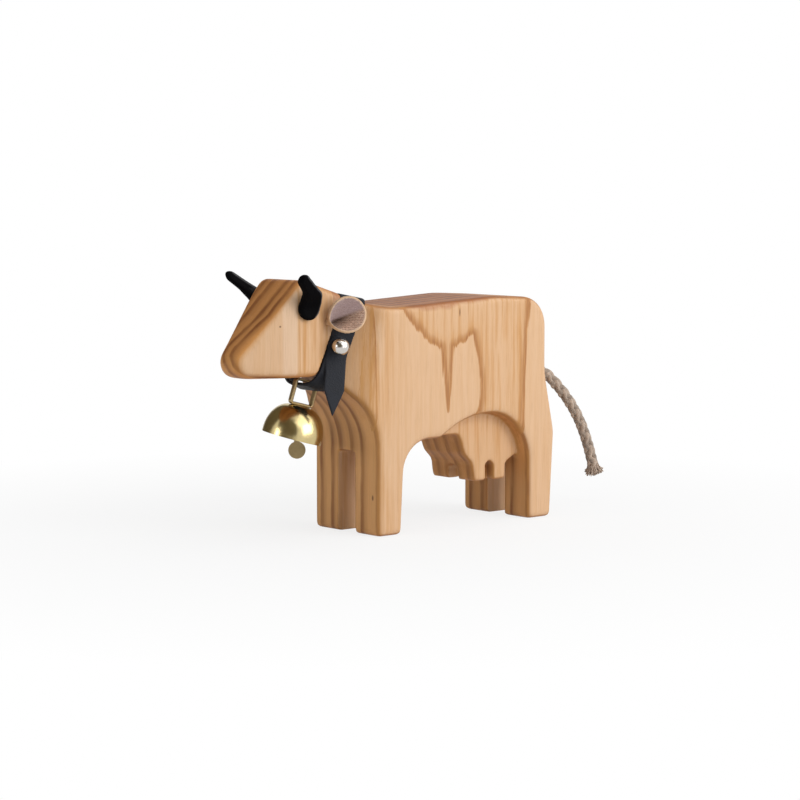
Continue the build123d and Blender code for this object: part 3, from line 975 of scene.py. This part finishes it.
class COW_OT_metal_fittings(bpy.types.Operator):
    """Gives bell, bail, clapper and stud their metals"""

    bl_idname = "cow.metal_fittings"
    bl_label = "Metal fittings"

    def execute(self, context):
        own = context.scene.cow_metal
        bell = metal_finish("bell_brass", own.brass, roughness=0.17, dulling=0.35)
        strip = metal_finish("strip_brass", own.strip, roughness=0.3, dulling=0.6)
        nickel = metal_finish("nickel", own.nickel, roughness=0.16, dulling=0.2)
        for node in ("stud_ball", "stud_screw"):
            dress(frame["nodes"][node], nickel)
        for node in ("bell_bail", "clapper_eye", "clapper"):
            dress(frame["nodes"][node], strip)
        dress(frame["nodes"]["bell_dome"], bell)
        return {"FINISHED"}


# Rope tail
def hemp_finish(name, hemp):
    """Rope fibres: fine streaks and uneven colour."""
    finish = Finish(name, Roughness=0.9, Specular_IOR_Level=0.2, Sheen_Weight=0.25)
    patches = finish.noise(finish.even_place(0.5), detail=4.0)
    fibres = finish.noise(finish.even_place(5.0), detail=5.0, roughness=0.7)
    tone = finish.mix(finish.spread(patches, 0.35, 0.7), hemp, shaded(hemp, 1.45))
    finish.colour(finish.mix(finish.spread(fibres, 0.45, 0.75, 0.0, 0.75), tone, shaded(hemp, 0.4)))
    finish.bump(fibres, 0.25)
    return finish.material


def new_curve(name, kind, lines):
    """A curve object with one spline along each line of points."""
    curve = bpy.data.curves.new(name, "CURVE")
    curve.dimensions = "3D"
    for line in lines:
        spline = curve.splines.new(kind)
        spline.points.add(len(line) - 1)
        for point, place in zip(spline.points, line):
            point.co = (*place, 1.0)
    holder = bpy.data.objects.new(name, curve)
    bpy.context.scene.collection.objects.link(holder)
    return holder


def rope_line():
    """Points read from the route's smooth spline."""
    route = new_curve("rope_route", "NURBS", [ROPE_ROUTE])
    spline = route.data.splines[0]
    spline.order_u = 3
    spline.use_endpoint_u = True
    spline.resolution_u = ROPE_STEPS
    bpy.context.view_layer.update()
    line = bpy.data.meshes.new_from_object(route)
    points = [vertex.co.copy() for vertex in line.vertices]
    bpy.data.objects.remove(route)
    bpy.data.meshes.remove(line)
    return points


def distances(points):
    """Distance from the start at every point of a line."""
    travelled = [0.0]
    for before, after in zip(points, points[1:]):
        travelled.append(travelled[-1] + (after - before).length)
    return travelled


def round_about(ahead, angle):
    """Direction out from a line at an angle round it, 0 being sideways."""
    upward = ahead.cross(SIDEWAYS).normalized()
    return SIDEWAYS * math.cos(angle) + upward * math.sin(angle)


def braid_lines(points, travelled, own):
    """Lines of all strands, first those of one way: each passes over and under the other way's."""
    strand_radius = own.diameter * STRAND_SHARE
    middle = own.diameter / 2 - strand_radius * STRAND_INSET
    swing = strand_radius * STRAND_SWING
    lines = []
    for way in (1, -1):
        for step in range(own.strands):
            turn = math.tau * (step / own.strands + BRAID_TURN)
            line = []
            for index, (point, distance) in enumerate(zip(points, travelled)):
                ahead = points[min(index + 1, len(points) - 1)] - points[max(index - 1, 0)]
                phase = math.tau * distance / own.pitch
                reach = middle + way * swing * math.cos(own.strands * phase)
                line.append(point + round_about(ahead, way * phase + turn) * reach)
            lines.append(line)
    return lines


def fray_lines(points, radius):
    """Lines of loose fibres that flare at the rope's cut end."""
    dice = random.Random(FRAY_SEED)
    end = points[-1]
    down = (end - points[-ROPE_END_STEPS]).normalized()
    knee_length, knee_flare = FRAY_KNEE
    lines = []
    for _ in range(FRAY_COUNT):
        out = round_about(down, dice.uniform(0, math.tau))
        reach = radius * math.sqrt(dice.random())
        start = end - down * radius * FRAY_START + out * reach * FRAY_SPREAD
        flare = dice.uniform(*FRAY_FLARE) * reach
        length = radius * dice.uniform(*FRAY_LENGTH)
        bend = Vector([dice.uniform(-FRAY_BEND, FRAY_BEND) * radius for _ in range(3)])
        knee = start + down * length * knee_length + out * flare * knee_flare
        lines.append([start, knee, start + down * length + out * flare + bend])
    return lines


def tube_mesh(name, lines, radius, resolution):
    """Round tubes along lines, as one closed mesh."""
    tubes = new_curve(name, "POLY", lines)
    tubes.data.bevel_depth = radius
    tubes.data.bevel_resolution = resolution
    tubes.data.use_fill_caps = True
    activate(tubes)
    bpy.ops.object.convert(target="MESH")
    bpy.ops.object.shade_smooth()
    return bpy.context.object


class COW_OT_rope_tail(bpy.types.Operator):
    """Braids the rope tail and frays its end"""

    bl_idname = "cow.rope_tail"
    bl_label = "Rope tail"

    def execute(self, context):
        own = context.scene.cow_tail
        points = rope_line()
        travelled = distances(points)
        lines = [*braid_lines(points, travelled, own), points]
        rope = tube_mesh("braided_tail", lines, own.diameter * STRAND_SHARE, STRAND_SIDES)
        hemp = hemp_finish("hemp", own.hemp)
        dress(rope, hemp)
        # Strands of the other way, and the core, get a darker copy of the hemp: painted shade between the
        # strands
        rope.data.materials.append(hemp_finish("hemp_painted_shade", shaded(own.hemp, HEMP_PAINTED_SHADE)))
        per_strand = len(rope.data.polygons) // len(lines)
        for face in rope.data.polygons:
            face.material_index = 0 if face.index // per_strand < own.strands else 1
        fibres = fray_lines(points, own.diameter / 2)
        fray = tube_mesh("frayed_end", fibres, own.diameter * FRAY_SHARE, FRAY_SIDES)
        dress(fray, hemp)
        settle(rope, "tail_rope")
        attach(fray, "figure")
        return {"FINISHED"}


# Stage
def floor_finish():
    """White floor that keeps the shadow close to the object and fades into the background."""
    material = bpy.data.materials.new("floor_white")
    material.use_nodes = True
    tree = Nodes(material.node_tree)
    tree.nodes.clear()
    paint = tree.node("ShaderNodeBsdfDiffuse", {"Color": with_alpha(FLOOR_PAINT)}).outputs[0]
    glow = tree.node("ShaderNodeEmission").outputs[0]
    rays = tree.rays()
    seen = tree.math("MAXIMUM", rays["Is Camera Ray"], rays["Is Glossy Ray"])
    away = tree.vector("LENGTH", tree.coordinates("Object"))
    share = tree.math("MULTIPLY", seen, tree.spread(away, *FLOOR_FADE, FLOOR_MIDDLE))
    mixed = tree.node("ShaderNodeMixShader", {"Fac": share, 1: paint, 2: glow}).outputs[0]
    tree.node("ShaderNodeOutputMaterial", {"Surface": mixed})
    return material


def room_light(strength):
    """White surroundings for the camera and for reflections, weaker as a light."""
    world = bpy.data.worlds.new("studio")
    bpy.context.scene.world = world
    world.use_nodes = True
    tree = Nodes(world.node_tree)
    background = tree.nodes["Background"]
    background.inputs["Color"].default_value = with_alpha(WHITE)
    rays = tree.rays()
    seen = rays["Is Camera Ray"]
    for ray in ("Is Glossy Ray", "Is Transmission Ray"):
        seen = tree.math("MAXIMUM", seen, rays[ray])
    tree.links.new(tree.spread(seen, 0.0, 1.0, strength), background.inputs["Strength"])


def sight(azimuth, elevation):
    """Direction from the object to a viewer, both angles in degrees."""
    azimuth, elevation = math.radians(azimuth), math.radians(elevation)
    level = math.cos(elevation)
    return Vector((math.sin(azimuth) * level, -math.cos(azimuth) * level, math.sin(elevation)))


def add_camera():
    """Camera at the photograph's place."""
    back = sight(CAMERA_AZIMUTH, CAMERA_ELEVATION)
    data = bpy.data.cameras.new("photo_camera")
    data.lens = CAMERA_LENS
    data.clip_start = CAMERA_NEAR
    camera = bpy.data.objects.new("photo_camera", data)
    camera.location = CAMERA_TARGET + back * CAMERA_DISTANCE
    camera.rotation_euler = (-back).to_track_quat("-Z", "Y").to_euler()
    bpy.context.scene.collection.objects.link(camera)
    bpy.context.scene.camera = camera


def add_lamp(name, place, size, power):
    """Square lamp that looks at the middle of the object."""
    lamp = bpy.data.lights.new(name, "AREA")
    lamp.size = size
    lamp.energy = power
    holder = bpy.data.objects.new(name, lamp)
    holder.location = place
    holder.rotation_euler = (CAMERA_TARGET - holder.location).to_track_quat("-Z", "Y").to_euler()
    bpy.context.scene.collection.objects.link(holder)


def add_plane(name, size, place):
    """A square plane."""
    bpy.ops.object.select_all(action="DESELECT")
    bpy.ops.mesh.primitive_plane_add(size=size, location=place)
    plane = bpy.context.object
    plane.name = name
    return plane


def add_card(name, turn, lift, width, height, distance, glow):
    """Card that is seen only in reflections: a dark one paints a dark reflection, a glowing one a painted
    highlight.
    """
    back = sight(CAMERA_AZIMUTH - turn, lift)
    card = add_plane(name, 1.0, CAMERA_TARGET + back * distance)
    card.scale = (width, height, 1.0)
    card.rotation_euler = back.to_track_quat("Z", "Y").to_euler()
    for ray in ("camera", "diffuse", "shadow", "transmission", "volume_scatter"):
        setattr(card, f"visible_{ray}", False)
    reflection_finish = Finish(name, Base_Color=with_alpha(CARD_REFLECTION_DARK), Roughness=1.0, Emission_Strength=glow)
    dress(card, reflection_finish.material)


class COW_OT_stage(bpy.types.Operator):
    """Sets up camera, lamps, cards and floor"""

    bl_idname = "cow.stage"
    bl_label = "Stage"

    def execute(self, context):
        own = context.scene.cow_stage
        add_camera()
        context.scene.view_settings.view_transform = "Standard"
        room_light(own.fill)
        for name, (place, size, share) in LAMPS.items():
            add_lamp(name, place, size, own.key_power * share)
        for name, values in CARDS.items():
            add_card(name, *values)
        floor = add_plane("floor", FLOOR_SIZE, (0, 0, 0))
        dress(floor, floor_finish())
        return {"FINISHED"}


class COW_PT_figurine(bpy.types.Panel):
    """Lists the settings and the steps that dress the figurine"""

    bl_idname = "COW_PT_figurine"
    bl_label = "Cow figurine"
    bl_space_type = "VIEW_3D"
    bl_region_type = "UI"
    bl_category = "Cow"

    def draw(self, context):
        for name, group in SETTINGS.items():
            box = self.layout.box()
            for field in group.__annotations__:
                box.prop(getattr(context.scene, name), field)
        for step in STEPS:
            self.layout.operator(step.bl_idname)


STEPS = (
    COW_OT_stage,
    COW_OT_rope_tail,
    COW_OT_wooden_figure,
    COW_OT_leather_horns,
    COW_OT_leather_ears,
    COW_OT_collar,
    COW_OT_metal_fittings,
)


def register():
    """Registers settings, operators and panel."""
    for name, group in SETTINGS.items():
        bpy.utils.register_class(group)
        setattr(bpy.types.Scene, name, PointerProperty(type=group))
    for step in STEPS:
        bpy.utils.register_class(step)
    bpy.utils.register_class(COW_PT_figurine)


def unregister():
    """Takes everything out again."""
    bpy.utils.unregister_class(COW_PT_figurine)
    for step in reversed(STEPS):
        bpy.utils.unregister_class(step)
    for name, group in SETTINGS.items():
        delattr(bpy.types.Scene, name)
        bpy.utils.unregister_class(group)


def main():
    """Dresses the figurine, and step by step."""
    register()
    bpy.ops.cow.stage()
    bpy.ops.cow.rope_tail()
    bpy.ops.cow.wooden_figure()
    bpy.ops.cow.leather_horns()
    bpy.ops.cow.leather_ears()
    bpy.ops.cow.collar()
    bpy.ops.cow.metal_fittings()


if __name__ == "__main__":
    main()
